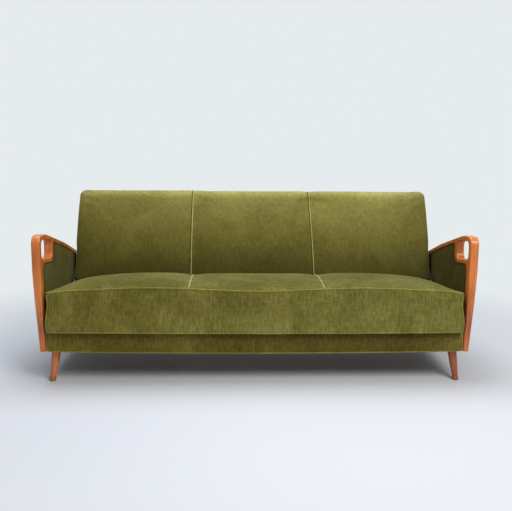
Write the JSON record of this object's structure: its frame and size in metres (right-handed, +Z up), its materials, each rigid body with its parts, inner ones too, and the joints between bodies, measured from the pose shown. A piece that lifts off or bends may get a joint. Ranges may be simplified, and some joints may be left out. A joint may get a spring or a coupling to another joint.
{
  "type": "sofa bed",
  "caption": "Click-clack sofa bed: sprung velvet seat over a bedding box, folding back, slim wooden arms with hand holes, splayed turned legs.",
  "frame": {"origin": "on the floor, under the middle of the sofa's width and depth", "axes": "+X to the right arm seen from the front, +Y to the rear, +Z up; the sofa faces -Y"},
  "size_m": [2.006, 0.8126, 0.8513],
  "materials": {
    "velvet": "cotton velvet, olive green",
    "jute": "woven jute webbing",
    "lining": "plain black-brown lining cloth",
    "spring_core": "sprung core wrapped in hessian",
    "beech": "stained beech, satin varnish",
    "beech_dark": "stained beech, satin varnish, darker",
    "board": "plywood, bare",
    "softwood": "planed spruce, bare",
    "steel": "pressed steel, black enamel",
    "bright_steel": "zinc plated",
    "ferrule": "dull brass ferrule",
    "rubber": "black rubber"
  },
  "bodies": {
    "base": {"arm_base_rail_left": "beech_dark", "arm_base_rail_right": "beech_dark", "arm_bolts": "bright_steel", "arm_pad_inner_left": "velvet", "arm_pad_inner_right": "velvet", "arm_pad_outer_left": "velvet", "arm_pad_outer_right": "velvet", "arm_panel_left": "board", "arm_panel_right": "board", "arm_post_left": "beech", "arm_post_right": "beech", "arm_rail_left": "beech", "arm_rail_right": "beech", "arm_rear_post_left": "beech_dark", "arm_rear_post_right": "beech_dark", "box_bearers": "softwood", "box_bottom_panel": "board", "box_front_board": "softwood", "box_rear_board": "softwood", "box_side_left": "softwood", "box_side_right": "softwood", "corner_blocks": "softwood", "fascia_pad": "velvet", "front_legs": "beech", "hinge_bracket_left": "steel", "hinge_bracket_right": "steel", "hinge_pins": "bright_steel", "leg_bolts": "bright_steel", "leg_ferrules": "ferrule", "leg_plates": "steel", "ratchet_housings": "steel", "rear_legs": "beech", "rest_buffers": "rubber"},
    "seat": {"seat_cross_rails": "softwood", "seat_cushion": "velvet", "seat_front_rail": "softwood", "seat_hinge_plate_left": "steel", "seat_hinge_plate_right": "steel", "seat_rear_rail": "softwood", "seat_side_rail_left": "softwood", "seat_side_rail_right": "softwood", "seat_spring_core": "spring_core", "seat_webbing": "jute"},
    "back": {"back_bottom_rail": "softwood", "back_cross_rails": "softwood", "back_cushion": "velvet", "back_hinge_plate_left": "steel", "back_hinge_plate_right": "steel", "back_rear_cloth": "lining", "back_side_rail_left": "softwood", "back_side_rail_right": "softwood", "back_top_rail": "softwood", "back_webbing": "jute"}
  },
  "joints": [
    {"name": "seat_lift", "type": "hinge", "parent": "base", "child": "seat", "pos_m": [0, 0.13873, 0.385], "axis": [-1, 0, 0], "range_deg": [0, 50]},
    {"name": "back_fold", "type": "hinge", "parent": "base", "child": "back", "pos_m": [0, 0.13873, 0.385], "axis": [-1, 0, 0], "range_deg": [0, 67]}
  ]
}
